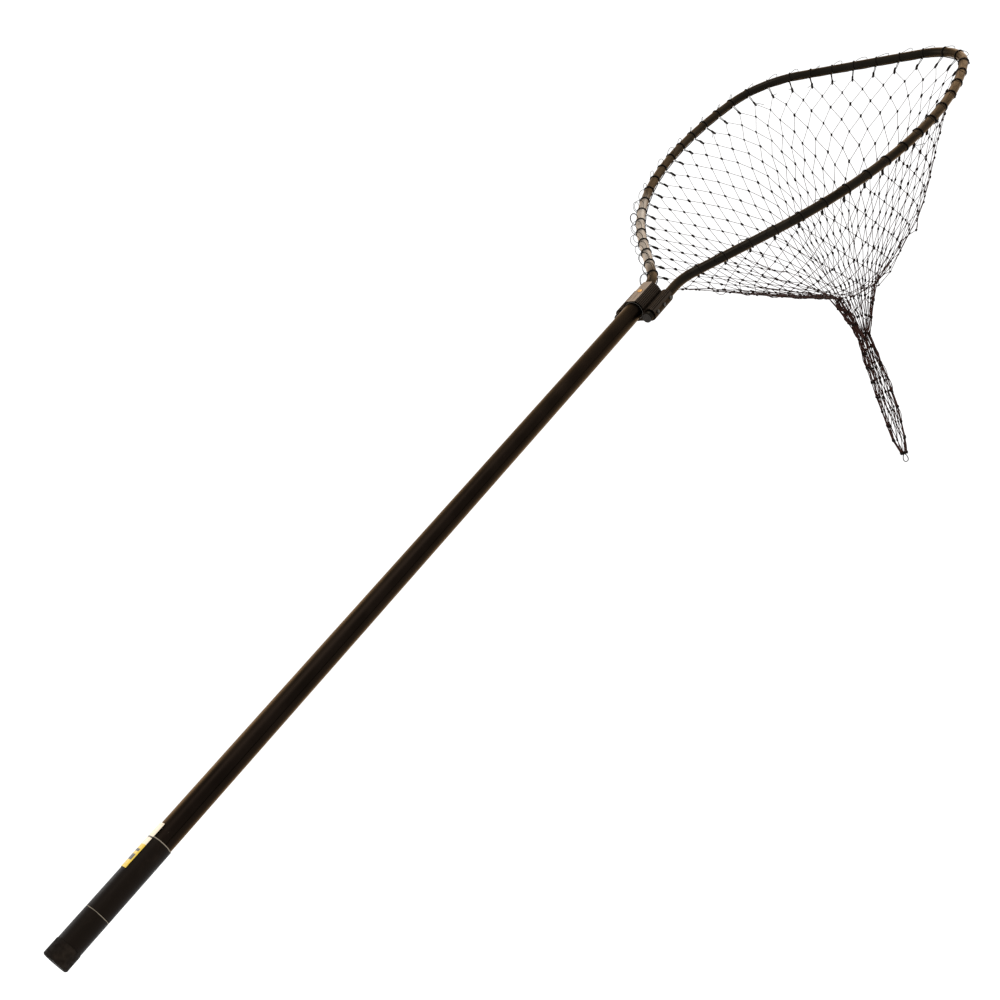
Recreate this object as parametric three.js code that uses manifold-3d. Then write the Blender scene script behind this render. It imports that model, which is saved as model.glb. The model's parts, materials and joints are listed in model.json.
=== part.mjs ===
// Landing net: a long tubular handle, a ribbed yoke that slides along it and is locked by a spring button,
// a pear-shaped tubular hoop, and a knotted netting bag that narrows into a tail with a cord loop.
// Millimetres, +Z up. The origin lies on the handle's axis in the middle of the hand grip.
// The handle rises along +X as the net is held, turned a little about its own axis so that the hoop's +Y arm
// is the higher one. The netting hangs straight down.
// A "station" is a distance along the handle's axis from the butt end.

import * as THREE from 'three';
import Module from 'manifold-3d';
import { mergeVertices } from 'three/addons/utils/BufferGeometryUtils.js';

// Pose of the whole net
const HANDLE_RISE = THREE.MathUtils.degToRad(26);
const HANDLE_ROLL = THREE.MathUtils.degToRad(20);
const GRIP_STATION = 110;

// Gaps
const TOUCH_GAP = 0.3;
const RUNNING_GAP = 0.35;

// Handle tube
const HANDLE_RADIUS = 14.2875;
const HANDLE_WALL = 1.7;
const HANDLE_BACK = 3.3;
const HANDLE_FRONT = 1244;
const KEYWAY_ANGLE = THREE.MathUtils.degToRad(160);
const KEYWAY_HALF_WIDTH = 1.5;
const KEYWAY_DEPTH = 1;

// Pieces on the handle
const CAP_RADIUS = 15.6;
const CAP_LENGTH = 20;
const CAP_FLOOR = 3;
const SLEEVE_WALL = 0.5;
const SLEEVE_JOINT = 59;
const SLEEVE_FRONT = 150;
const LABEL_BACK = 108;
const LABEL_FRONT = 166;
const LABEL_THICKNESS = 0.25;
const LABEL_FROM = THREE.MathUtils.degToRad(40);
const LABEL_TO = THREE.MathUtils.degToRad(100);
const PLUG_FLANGE_RADIUS = 16;
const PLUG_FLANGE = 3;
const PLUG_SPIGOT = 18;

// Yoke: an extruded barrel round the handle with a boss on each side for the hoop's legs
const YOKE_BACK = 1188;
const YOKE_FRONT = 1244;
const BARREL_RADIUS = 19;
const BARREL_FLAT = 17.6;
const BOSS_RADIUS = 11;
const BOSS_FLAT = 10.2;
const LEG_SPREAD = 26.5;
const LEG_DROP = 8;
const RIB_PITCH = 2.8;
const RIB_GROOVE_RADIUS = 0.9;
const BUSH_LENGTH = 13;
const BUSH_WALL = 1;

// Lock button, which stands in the top of the handle and of the yoke
const BUTTON_STATION = 1218;
const BUTTON_RADIUS = 4.2;
const BUTTON_TOP = 18.9;
const BUTTON_FLANGE_LOW = 9.2;
const BUTTON_FLANGE_HIGH = 10.4;
const BUTTON_FLANGE_RADIUS = 5.4;
const BUTTON_HOLE_RADIUS = 4.6;
const LEAF_WIDTH = 8;
const LEAF_THICKNESS = 0.5;

// Screws that clamp the hoop's legs
const SCREW_STATIONS = [1197, 1217, 1237];
const SCREW_HEAD_RADIUS = 3;
const SCREW_HEAD_HEIGHT = 1.7;
const SCREW_SHANK_RADIUS = 2;

// Hoop tube, its outline as straight runs and arcs: each is a length or radius, and headings are from the
// handle's direction
const HOOP_RADIUS = 7.9375;
const HOOP_WALL = 1.25;
const LEG_BACK = 1179;
const LEG_FRONT = 1269.5;
const NECK_RADIUS = 70;
const NECK_HEADING = THREE.MathUtils.degToRad(37);
const SHOULDER_LENGTH = 146;
const SIDE_RADIUS = 655;
const SIDE_HEADING = THREE.MathUtils.degToRad(-15.5);
const CORNER_RADIUS = 113;
const HOOP_STEPS = 96;

// Lashing and netting
const CORD_RADIUS = 1.25;
const LASHING_BACK = 1264;
const LASHING_STEPS = 90;
const RIM_DROP = 12;
const BAG_WALL = 3;
const BAG_RINGS = 9;
const BAG_SIDES = 40;
const BAG_CLOSE_IN_POWER = 1.1;
const BAG_FALL_POWER = 1.3;
const GATHER = new THREE.Vector3(1666, 101, 338);
const GATHER_RADIUS = 17;
const TAIL_END = new THREE.Vector3(1680, 107, 98);
const TAIL_END_RADIUS = 8;
const TAIL_RINGS = 7;
const TAIL_SIDES = 10;
const LOOP_RADIUS = 7;

const wasm = await Module();
wasm.setup();

const AXIS_X = new THREE.Vector3(1, 0, 0);
const AXIS_Y = new THREE.Vector3(0, 1, 0);
const AXIS_Z = new THREE.Vector3(0, 0, 1);

// ---- Solids ----

function toSolid(geometry) {
  const bare = geometry.index ? geometry.toNonIndexed() : geometry.clone();
  bare.deleteAttribute('normal');
  bare.deleteAttribute('uv');
  const merged = mergeVertices(bare, 1e-4);
  return new wasm.Manifold(new wasm.Mesh({
    numProp: 3,
    vertProperties: new Float32Array(merged.attributes.position.array),
    triVerts: new Uint32Array(merged.index.array),
  }));
}

function toGeometry(solid) {
  const mesh = solid.getMesh();
  const indexed = new THREE.BufferGeometry();
  indexed.setAttribute('position', new THREE.BufferAttribute(new Float32Array(mesh.vertProperties), 3));
  indexed.setIndex(new THREE.BufferAttribute(new Uint32Array(mesh.triVerts), 1));
  const geometry = indexed.toNonIndexed();
  geometry.computeVertexNormals();
  return geometry;
}

function cut(geometry, cutters) {
  return toGeometry(cutters.reduce((solid, cutter) => solid.subtract(toSolid(cutter)), toSolid(geometry)));
}

// A shape drawn with x along Y and y along Z, extruded along X between two stations.
function prism(shape, back, front, curveSegments = 12) {
  const options = { depth: front - back, bevelEnabled: false, curveSegments };
  return new THREE.ExtrudeGeometry(shape, options)
    .applyMatrix4(new THREE.Matrix4().makeBasis(AXIS_Y, AXIS_Z, AXIS_X))
    .translate(back - GRIP_STATION, 0, 0);
}

// A round piece about the handle's direction. The profile is a list of [station, radius].
function turned(profile, sides) {
  const points = profile.map(([station, radius]) => new THREE.Vector2(radius, station - GRIP_STATION));
  return new THREE.LatheGeometry(points, sides)
    .applyMatrix4(new THREE.Matrix4().makeBasis(AXIS_Y, AXIS_X, AXIS_Z.clone().negate()));
}

function circle(radius, y = 0, z = 0) {
  return new THREE.Shape().absarc(y, z, radius, 0, 2 * Math.PI, false);
}

function rod(radius, back, front, y, z, curveSegments) {
  return prism(circle(radius, y, z), back, front, curveSegments);
}

function piece(name, geometry, color, roughness, metalness) {
  const mesh = new THREE.Mesh(geometry, new THREE.MeshStandardMaterial({ color, roughness, metalness }));
  mesh.name = name;
  return mesh;
}

// A closed skin through rings of points, with a flat fan at its first and last ring.
function skin(rings) {
  const sides = rings[0].length;
  const corners = [];
  const centre = (ring) => ring.reduce((sum, p) => sum.add(p), new THREE.Vector3()).divideScalar(sides);
  const face = (...points) => points.forEach((p) => corners.push(p.x, p.y, p.z));
  for (let level = 0; level + 1 < rings.length; level += 1) {
    for (let side = 0; side < sides; side += 1) {
      const next = (side + 1) % sides;
      face(rings[level][side], rings[level][next], rings[level + 1][next]);
      face(rings[level][side], rings[level + 1][next], rings[level + 1][side]);
    }
  }
  const first = rings[0];
  const last = rings[rings.length - 1];
  for (let side = 0; side < sides; side += 1) {
    const next = (side + 1) % sides;
    face(centre(first), first[next], first[side]);
    face(centre(last), last[side], last[next]);
  }
  const geometry = new THREE.BufferGeometry();
  geometry.setAttribute('position', new THREE.BufferAttribute(new Float32Array(corners), 3));
  geometry.computeVertexNormals();
  return geometry;
}

// ---- Handle ----

// Round outline with the keyway's notch in it, or with a key standing in when the depth is negative.
function keyedCircle(radius, depth, halfWidth) {
  const halfAngle = Math.asin(halfWidth / radius);
  const floor = radius * Math.cos(halfAngle) - depth;
  const along = new THREE.Vector2(Math.cos(KEYWAY_ANGLE), Math.sin(KEYWAY_ANGLE));
  const across = new THREE.Vector2(-along.y, along.x);
  const corner = (side) => along.clone().multiplyScalar(floor).addScaledVector(across, side * halfWidth);
  const start = KEYWAY_ANGLE + halfAngle;
  const shape = new THREE.Shape();
  shape.absarc(0, 0, radius, start, start + 2 * (Math.PI - halfAngle), false);
  shape.lineTo(corner(-1).x, corner(-1).y);
  shape.lineTo(corner(1).x, corner(1).y);
  shape.closePath();
  return shape;
}

function buttonHole(low, high) {
  return new THREE.CylinderGeometry(BUTTON_HOLE_RADIUS, BUTTON_HOLE_RADIUS, high - low, 16)
    .rotateX(Math.PI / 2)
    .translate(BUTTON_STATION - GRIP_STATION, 0, (low + high) / 2);
}

function handleTube() {
  const section = keyedCircle(HANDLE_RADIUS, KEYWAY_DEPTH, KEYWAY_HALF_WIDTH);
  const bore = rod(HANDLE_RADIUS - HANDLE_WALL, HANDLE_BACK - 1, HANDLE_FRONT + 1, 0, 0, 14);
  const tube = prism(section, HANDLE_BACK, HANDLE_FRONT, 40);
  return cut(tube, [bore, buttonHole(0, HANDLE_RADIUS + 2)]);
}

function buttCap() {
  const inner = HANDLE_RADIUS + TOUCH_GAP;
  return turned([
    [0, 0], [0, CAP_RADIUS - 1.4], [1.4, CAP_RADIUS], [CAP_LENGTH - 0.8, CAP_RADIUS],
    [CAP_LENGTH, CAP_RADIUS - 0.6], [CAP_LENGTH, inner], [CAP_FLOOR, inner], [CAP_FLOOR, 0],
  ], 28);
}

function gripSleeve(back, front) {
  const inner = HANDLE_RADIUS + TOUCH_GAP;
  const outer = inner + SLEEVE_WALL;
  return turned([[back, inner], [back, outer], [front, outer], [front, inner], [back, inner]], 28);
}

function label() {
  const inner = HANDLE_RADIUS + SLEEVE_WALL + 2 * TOUCH_GAP;
  const shape = new THREE.Shape();
  shape.absarc(0, 0, inner + LABEL_THICKNESS, LABEL_FROM, LABEL_TO, false);
  shape.absarc(0, 0, inner, LABEL_TO, LABEL_FROM, true);
  shape.closePath();
  return prism(shape, LABEL_BACK, LABEL_FRONT, 8);
}

function frontPlug() {
  const spigot = HANDLE_RADIUS - HANDLE_WALL - TOUCH_GAP;
  const seat = HANDLE_FRONT + 0.4;
  const nose = seat + PLUG_FLANGE;
  return turned([
    [seat - PLUG_SPIGOT, 0], [seat - PLUG_SPIGOT, spigot - 1], [seat - PLUG_SPIGOT + 1, spigot],
    [seat, spigot], [seat, PLUG_FLANGE_RADIUS], [nose - 1, PLUG_FLANGE_RADIUS],
    [nose, PLUG_FLANGE_RADIUS - 1.2], [nose, 0],
  ], 24);
}

// ---- Lock button and its V spring inside the handle ----

// A leaf of spring strip lying across Y, from its centre line of [distance from the button, height].
function leaf(centreLine) {
  const line = centreLine.map(([x, z]) => new THREE.Vector2(BUTTON_STATION - GRIP_STATION + x, z));
  const edge = (side) => line.map((point, index) => {
    const ahead = line[Math.min(index + 1, line.length - 1)];
    const behind = line[Math.max(index - 1, 0)];
    const along = ahead.clone().sub(behind).normalize();
    const across = new THREE.Vector2(-along.y, along.x);
    return point.clone().addScaledVector(across, side * LEAF_THICKNESS / 2);
  });
  const shape = new THREE.Shape([...edge(1), ...edge(-1).reverse()]);
  return new THREE.ExtrudeGeometry(shape, { depth: LEAF_WIDTH, bevelEnabled: false })
    .translate(0, 0, -LEAF_WIDTH / 2)
    .rotateX(Math.PI / 2);
}

function springLeafLower() {
  return leaf([[6, -11.2], [-52, -11.2], [-56, -10.4], [-58, -8.4], [-56, -6.2], [-50, -5.2]]);
}

function springLeafUpper() {
  return leaf([[-47, -4.8], [-8, 8.6], [6, 8.6]]);
}

function lockButton() {
  const points = [
    [0, BUTTON_FLANGE_LOW], [BUTTON_FLANGE_RADIUS, BUTTON_FLANGE_LOW],
    [BUTTON_FLANGE_RADIUS, BUTTON_FLANGE_HIGH], [BUTTON_RADIUS, BUTTON_FLANGE_HIGH],
    [BUTTON_RADIUS, BUTTON_TOP - 1.4], [BUTTON_RADIUS - 0.5, BUTTON_TOP - 0.6],
    [BUTTON_RADIUS - 1.8, BUTTON_TOP], [0, BUTTON_TOP],
  ].map(([radius, height]) => new THREE.Vector2(radius, height));
  return new THREE.LatheGeometry(points, 20)
    .rotateX(Math.PI / 2)
    .translate(BUTTON_STATION - GRIP_STATION, 0, 0);
}

// ---- Yoke ----

const BUSH_OUTER = HANDLE_RADIUS + RUNNING_GAP + BUSH_WALL;

// Small grooves round an arc, which leave ribs between them.
function ribGrooves(radius, y, z, fromDegrees, toDegrees) {
  const stepDegrees = THREE.MathUtils.radToDeg(RIB_PITCH / radius);
  const count = Math.floor((toDegrees - fromDegrees) / stepDegrees);
  return Array.from({ length: count + 1 }, (_, index) => {
    const angle = THREE.MathUtils.degToRad(fromDegrees + index * stepDegrees);
    const place = [y + radius * Math.cos(angle), z + radius * Math.sin(angle)];
    return rod(RIB_GROOVE_RADIUS, YOKE_BACK - 1, YOKE_FRONT + 1, ...place, 3);
  });
}

// The barrel with its flat on top.
function barrelShape() {
  const edge = Math.asin(BARREL_FLAT / BARREL_RADIUS);
  return new THREE.Shape().absarc(0, 0, BARREL_RADIUS, Math.PI - edge, 2 * Math.PI + edge, false);
}

// A side boss with its flat on the outside. side is -1 or 1.
function bossShape(side) {
  const edge = Math.acos(BOSS_FLAT / BOSS_RADIUS);
  const start = side > 0 ? edge : Math.PI + edge;
  return new THREE.Shape()
    .absarc(side * LEG_SPREAD, -LEG_DROP, BOSS_RADIUS, start, start + 2 * (Math.PI - edge), false);
}

// The web under the barrel, between the two bosses.
function webShape() {
  const shape = new THREE.Shape();
  shape.moveTo(-LEG_SPREAD, -LEG_DROP - BOSS_RADIUS + 0.5);
  shape.lineTo(LEG_SPREAD, -LEG_DROP - BOSS_RADIUS + 0.5);
  shape.lineTo(LEG_SPREAD, -LEG_DROP);
  shape.lineTo(-LEG_SPREAD, -LEG_DROP);
  shape.closePath();
  return shape;
}

function yokeBody() {
  let solid = toSolid(prism(barrelShape(), YOKE_BACK, YOKE_FRONT, 36));
  solid = solid.add(toSolid(prism(webShape(), YOKE_BACK, YOKE_FRONT)));
  for (const side of [-1, 1]) {
    solid = solid.add(toSolid(prism(bossShape(side), YOKE_BACK, YOKE_FRONT, 24)));
  }
  const cutters = [
    rod(BUSH_OUTER + TOUCH_GAP, YOKE_BACK - 1, YOKE_FRONT + 1, 0, 0, 18),
    ...ribGrooves(BARREL_RADIUS, 0, 0, 10, 63),
    ...ribGrooves(BARREL_RADIUS, 0, 0, 117, 170),
    ...ribGrooves(BOSS_RADIUS, LEG_SPREAD, -LEG_DROP, 32, 118),
    ...ribGrooves(BOSS_RADIUS, LEG_SPREAD, -LEG_DROP, -88, -30),
    ...ribGrooves(BOSS_RADIUS, -LEG_SPREAD, -LEG_DROP, 62, 148),
    ...ribGrooves(BOSS_RADIUS, -LEG_SPREAD, -LEG_DROP, 210, 268),
    buttonHole(0, BARREL_RADIUS + 2),
  ];
  for (const side of [-1, 1]) {
    cutters.push(rod(HOOP_RADIUS + TOUCH_GAP, YOKE_BACK - 1, YOKE_FRONT + 1, side * LEG_SPREAD, -LEG_DROP, 12));
    for (const station of SCREW_STATIONS) {
      const holeRadius = SCREW_SHANK_RADIUS + TOUCH_GAP;
      cutters.push(new THREE.CylinderGeometry(holeRadius, holeRadius, BOSS_RADIUS, 10)
        .translate(station - GRIP_STATION, side * (LEG_SPREAD + BOSS_RADIUS), -LEG_DROP));
    }
  }
  return toGeometry(cutters.reduce((rest, cutter) => rest.subtract(toSolid(cutter)), solid));
}

// A plastic bush between the yoke and the handle, with a key that runs in the handle's keyway.
function bush(back, front) {
  const running = HANDLE_RADIUS + RUNNING_GAP;
  const ring = prism(circle(BUSH_OUTER), back, front, 18);
  const bore = prism(keyedBore(running), back - 1, front + 1, 18);
  return cut(ring, [bore]);
}

// The bush's bore: round, with the key standing into it.
function keyedBore(radius) {
  return keyedCircle(radius, KEYWAY_DEPTH - RUNNING_GAP, KEYWAY_HALF_WIDTH - RUNNING_GAP);
}

function clampScrew(side, station) {
  const seat = LEG_SPREAD + BOSS_FLAT + TOUCH_GAP;
  const tip = LEG_SPREAD + HOOP_RADIUS + 2 * TOUCH_GAP;
  const profile = [
    [0, tip], [SCREW_SHANK_RADIUS, tip], [SCREW_SHANK_RADIUS, seat], [SCREW_HEAD_RADIUS, seat],
    [SCREW_HEAD_RADIUS, seat + 0.6 * SCREW_HEAD_HEIGHT], [0.55 * SCREW_HEAD_RADIUS, seat + SCREW_HEAD_HEIGHT],
    [0, seat + SCREW_HEAD_HEIGHT],
  ].map(([radius, height]) => new THREE.Vector2(radius, height));
  const screw = new THREE.LatheGeometry(profile, 10);
  if (side < 0) {
    screw.rotateZ(Math.PI);
  }
  return screw.translate(station - GRIP_STATION, 0, -LEG_DROP);
}

// ---- Hoop ----

// One side of the hoop from its leg to the middle of the front, as [length, turn] pairs.
const HALF_HOOP = [
  [LEG_FRONT - LEG_BACK, 0],
  [NECK_RADIUS * NECK_HEADING, NECK_HEADING],
  [SHOULDER_LENGTH, 0],
  [SIDE_RADIUS * (NECK_HEADING - SIDE_HEADING), SIDE_HEADING - NECK_HEADING],
  [CORNER_RADIUS * (SIDE_HEADING + Math.PI / 2), -Math.PI / 2 - SIDE_HEADING],
];

// The hoop's centre line in the plane below the handle, from the leg at -Y round the front to the leg at +Y.
class HoopLine extends THREE.Curve {
  constructor() {
    super();
    this.runs = [];
    let place = new THREE.Vector2(LEG_BACK - GRIP_STATION, LEG_SPREAD);
    let heading = 0;
    for (const [length, turn] of HALF_HOOP) {
      this.runs.push({ length, turn, place, heading });
      place = HoopLine.step(place, heading, length, turn);
      heading += turn;
    }
    this.runs.push({ length: place.y, turn: 0, place, heading });
    this.half = this.runs.reduce((sum, run) => sum + run.length, 0);
  }

  // The point reached after a stretch that turns evenly, which is a chord of its arc.
  static step(place, heading, length, turn) {
    const chord = turn === 0 ? length : length * Math.sin(turn / 2) / (turn / 2);
    const middle = heading + turn / 2;
    return new THREE.Vector2(place.x + chord * Math.cos(middle), place.y + chord * Math.sin(middle));
  }

  getPoint(t, target = new THREE.Vector3()) {
    const travelled = t * 2 * this.half;
    const side = travelled < this.half ? -1 : 1;
    let left = Math.min(travelled, 2 * this.half - travelled);
    for (const run of this.runs) {
      if (left <= run.length || run === this.runs[this.runs.length - 1]) {
        const point = HoopLine.step(run.place, run.heading, left, run.turn * left / run.length);
        return target.set(point.x, side * point.y, -LEG_DROP);
      }
      left -= run.length;
    }
    return target;
  }
}

const HOOP_LINE = new HoopLine();

function tubeAlong(path, outer, inner, steps, outerPoints, innerPoints) {
  const shape = new THREE.Shape(ring(outer, outerPoints));
  if (inner > 0) {
    shape.holes.push(new THREE.Path(ring(inner, innerPoints)));
  }
  return new THREE.ExtrudeGeometry(shape, { steps, bevelEnabled: false, extrudePath: path });
}

function ring(radius, count) {
  return Array.from({ length: count }, (_, index) => {
    const angle = 2 * Math.PI * index / count;
    return new THREE.Vector2(radius * Math.cos(angle), radius * Math.sin(angle));
  });
}

function hoopTube() {
  return tubeAlong(HOOP_LINE, HOOP_RADIUS, HOOP_RADIUS - HOOP_WALL, HOOP_STEPS, 12, 8);
}

function hoopPlug(side) {
  const spigot = (HOOP_RADIUS - HOOP_WALL) * Math.cos(Math.PI / 8) - TOUCH_GAP;
  const seat = LEG_BACK - TOUCH_GAP;
  return turned([
    [seat - 2, 0], [seat - 2, HOOP_RADIUS - 1], [seat - 1.2, HOOP_RADIUS - 0.2], [seat, HOOP_RADIUS - 0.2],
    [seat, spigot], [seat + 9, spigot], [seat + 10, spigot - 1], [seat + 10, 0],
  ], 12).translate(0, side * LEG_SPREAD, -LEG_DROP);
}

// ---- Lashing and netting ----

const HOOP_START = (LASHING_BACK - LEG_BACK) / (2 * HOOP_LINE.half);

// The cord that ties the netting on, laid along the lower inner side of the hoop.
function lashingCord() {
  const offset = (HOOP_RADIUS + CORD_RADIUS + 3 * TOUCH_GAP) * Math.SQRT1_2;
  const points = Array.from({ length: LASHING_STEPS + 1 }, (_, index) => {
    const t = HOOP_START + (1 - 2 * HOOP_START) * index / LASHING_STEPS;
    const tangent = HOOP_LINE.getTangent(t);
    const inward = new THREE.Vector3().crossVectors(AXIS_Z, tangent).normalize();
    return HOOP_LINE.getPoint(t).addScaledVector(inward, offset).addScaledVector(AXIS_Z, -offset);
  });
  const path = new THREE.CatmullRomCurve3(points);
  return tubeAlong(path, CORD_RADIUS, 0, LASHING_STEPS, 8, 0);
}

const HANDLE_TURN = new THREE.Euler(HANDLE_ROLL, -HANDLE_RISE, 0, 'YXZ');
const HANDLE_FRAME = new THREE.Matrix4().makeRotationFromEuler(HANDLE_TURN);

// The netting's rim just under the hoop, in the part's own axes.
function bagRim() {
  return Array.from({ length: BAG_SIDES }, (_, index) => {
    const t = HOOP_START + (1 - 2 * HOOP_START) * index / (BAG_SIDES - 1);
    const point = HOOP_LINE.getPoint(t);
    point.z -= RIM_DROP;
    return point.applyMatrix4(HANDLE_FRAME);
  });
}

// One ring of the bag: it closes in before it falls, as a net pulled down by its tail does.
function bagRing(rim, fraction) {
  const closeIn = 1 - (1 - fraction) ** BAG_CLOSE_IN_POWER;
  const fall = fraction ** BAG_FALL_POWER;
  return rim.map((point) => {
    const bearing = Math.atan2(point.y - GATHER.y, point.x - GATHER.x);
    const targetX = GATHER.x + GATHER_RADIUS * Math.cos(bearing);
    const targetY = GATHER.y + GATHER_RADIUS * Math.sin(bearing);
    return new THREE.Vector3(
      THREE.MathUtils.lerp(point.x, targetX, closeIn),
      THREE.MathUtils.lerp(point.y, targetY, closeIn),
      THREE.MathUtils.lerp(point.z, GATHER.z, fall),
    );
  });
}

function netBag() {
  const rim = bagRim();
  const outer = Array.from({ length: BAG_RINGS }, (_, index) => bagRing(rim, index / (BAG_RINGS - 1)));
  const inner = outer.map((level, index) => level.map((point, side) => {
    const next = level[(side + 1) % BAG_SIDES];
    const last = level[(side + BAG_SIDES - 1) % BAG_SIDES];
    const above = outer[Math.max(index - 1, 0)][side];
    const below = outer[Math.min(index + 1, BAG_RINGS - 1)][side];
    const around = new THREE.Vector3().subVectors(next, last);
    const down = new THREE.Vector3().subVectors(below, above);
    return point.clone().addScaledVector(around.cross(down).normalize(), BAG_WALL);
  }));
  return skin([...outer.slice().reverse(), ...inner]);
}

function netTail() {
  const rings = Array.from({ length: TAIL_RINGS }, (_, index) => {
    const fraction = index / (TAIL_RINGS - 1);
    const radius = THREE.MathUtils.lerp(GATHER_RADIUS - 2, TAIL_END_RADIUS, fraction);
    const centre = GATHER.clone().lerp(TAIL_END, fraction);
    centre.z -= 1;
    return ring(radius, TAIL_SIDES).map((p) => new THREE.Vector3(centre.x + p.x, centre.y + p.y, centre.z));
  });
  return skin(rings.reverse());
}

function tailLoop() {
  return new THREE.TorusGeometry(LOOP_RADIUS, CORD_RADIUS, 6, 16)
    .rotateX(Math.PI / 2)
    .translate(TAIL_END.x, TAIL_END.y, TAIL_END.z - LOOP_RADIUS - CORD_RADIUS - 2);
}

// ---- Assembly ----

const handle = new THREE.Group();
handle.add(
  piece('handle_tube', handleTube(), 0x1b1613, 0.4, 0.9),
  piece('butt_cap', buttCap(), 0x141312, 0.75, 0),
  piece('grip_sleeve_rear', gripSleeve(CAP_LENGTH + TOUCH_GAP, SLEEVE_JOINT - TOUCH_GAP), 0x171412, 0.6, 0),
  piece('grip_sleeve_front', gripSleeve(SLEEVE_JOINT + TOUCH_GAP, SLEEVE_FRONT), 0x171412, 0.6, 0),
  piece('label', label(), 0xe8e2d0, 0.4, 0),
  piece('front_plug', frontPlug(), 0x111111, 0.6, 0),
  piece('spring_leaf_lower', springLeafLower(), 0x9a9a98, 0.35, 1),
);

const button = new THREE.Group();
button.add(
  piece('lock_button', lockButton(), 0xb08038, 0.3, 1),
  piece('spring_leaf_upper', springLeafUpper(), 0x9a9a98, 0.35, 1),
);

const head = new THREE.Group();
head.add(
  piece('yoke_body', yokeBody(), 0x1d1916, 0.45, 0.9),
  piece('rear_bush', bush(YOKE_BACK + TOUCH_GAP, YOKE_BACK + BUSH_LENGTH), 0x26241f, 0.6, 0),
  piece('front_bush', bush(YOKE_FRONT - BUSH_LENGTH, YOKE_FRONT), 0x26241f, 0.6, 0),
  piece('hoop', hoopTube(), 0x2a231a, 0.4, 0.9),
  piece('lashing_cord', lashingCord(), 0x16130f, 0.9, 0),
);
for (const [side, sideName] of [[-1, 'near'], [1, 'far']]) {
  head.add(piece(`hoop_plug_${sideName}`, hoopPlug(side), 0x121212, 0.6, 0));
  SCREW_STATIONS.forEach((station, index) => {
    head.add(piece(`clamp_screw_${sideName}_${index + 1}`, clampScrew(side, station), 0x3a3631, 0.4, 1));
  });
}

const held = new THREE.Group();
held.rotation.copy(HANDLE_TURN);
held.add(handle, button, head);

const netting = new THREE.Group();
netting.add(
  piece('net_bag', netBag(), 0x4a3c30, 0.95, 0),
  piece('net_tail', netTail(), 0x2a231c, 0.95, 0),
  piece('tail_loop', tailLoop(), 0x3a3028, 0.95, 0),
);

const group = new THREE.Group();
group.add(held, netting);

export default group;
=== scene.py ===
"""Looks for the landing net: smooth hoop, lashing, knotted netting, finishes, studio and camera.

Lengths are in metres. A "station" is a distance along the handle from its butt end. The handle's own axes
are ALONG it, ACROSS towards the hoop's far arm, and UP out of the hoop's plane.
"""

import json
import math
import random

import bmesh
import bpy
import numpy as np
from mathutils import Matrix, Vector


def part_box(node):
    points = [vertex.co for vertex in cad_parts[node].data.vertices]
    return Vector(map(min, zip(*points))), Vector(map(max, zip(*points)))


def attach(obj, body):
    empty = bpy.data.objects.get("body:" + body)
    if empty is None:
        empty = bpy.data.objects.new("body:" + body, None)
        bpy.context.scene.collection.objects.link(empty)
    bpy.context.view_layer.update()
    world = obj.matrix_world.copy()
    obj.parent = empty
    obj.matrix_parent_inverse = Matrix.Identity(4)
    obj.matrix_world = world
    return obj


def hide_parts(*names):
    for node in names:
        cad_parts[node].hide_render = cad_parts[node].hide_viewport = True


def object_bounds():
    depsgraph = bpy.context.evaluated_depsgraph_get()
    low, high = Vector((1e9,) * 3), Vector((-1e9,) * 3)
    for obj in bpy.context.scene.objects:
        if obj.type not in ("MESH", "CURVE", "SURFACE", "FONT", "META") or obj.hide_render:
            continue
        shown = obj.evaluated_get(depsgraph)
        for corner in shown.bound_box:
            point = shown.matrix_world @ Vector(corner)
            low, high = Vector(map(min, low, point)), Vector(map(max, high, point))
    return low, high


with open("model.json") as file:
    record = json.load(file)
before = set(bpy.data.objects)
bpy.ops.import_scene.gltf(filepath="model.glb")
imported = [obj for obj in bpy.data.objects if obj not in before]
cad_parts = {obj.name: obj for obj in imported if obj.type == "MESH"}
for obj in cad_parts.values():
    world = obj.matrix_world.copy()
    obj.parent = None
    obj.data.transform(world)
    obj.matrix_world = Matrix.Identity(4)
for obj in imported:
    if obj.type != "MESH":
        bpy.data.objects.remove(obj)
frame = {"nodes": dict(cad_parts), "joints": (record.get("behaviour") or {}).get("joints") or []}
CAD_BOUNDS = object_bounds()

# Handle and yoke
GRIP_STATION = 0.110
YOKE_FLAT_HEIGHT = 0.0176
BARREL_RADIUS = 0.019
BOSS_RADIUS = 0.011
SLEEVE_JOINT = 0.059
SLEEVE_FRONT = 0.150
LABEL_BACK = 0.108
LABEL_FRONT = 0.166

# Room under the handle's axis that the netting leaves for the handle when the hoop slides back
HANDLE_CLEAR_HALF_WIDTH = 0.0185
HANDLE_CLEAR_DEPTH = 0.0185

# Smoothing of the CAD nodes: sharper edges than these stay sharp
FACET_ANGLE = math.radians(32)
RIB_ANGLE = math.radians(18)
WELD_REACH = 0.00001

# Hoop: straight runs and arcs from one leg to the middle of the front
HOOP_RADIUS = 0.0079375
HOOP_WALL = 0.00125
LEG_BACK = 1.179
LEG_FRONT = 1.2695
LEG_SPREAD = 0.0265
LEG_DROP = 0.008
NECK_RADIUS = 0.070
NECK_HEADING = math.radians(37)
SHOULDER_LENGTH = 0.146
SIDE_RADIUS = 0.655
SIDE_HEADING = math.radians(-15.5)
CORNER_RADIUS = 0.113
HOOP_STEP = 0.008
HOOP_SIDES = 28

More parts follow.
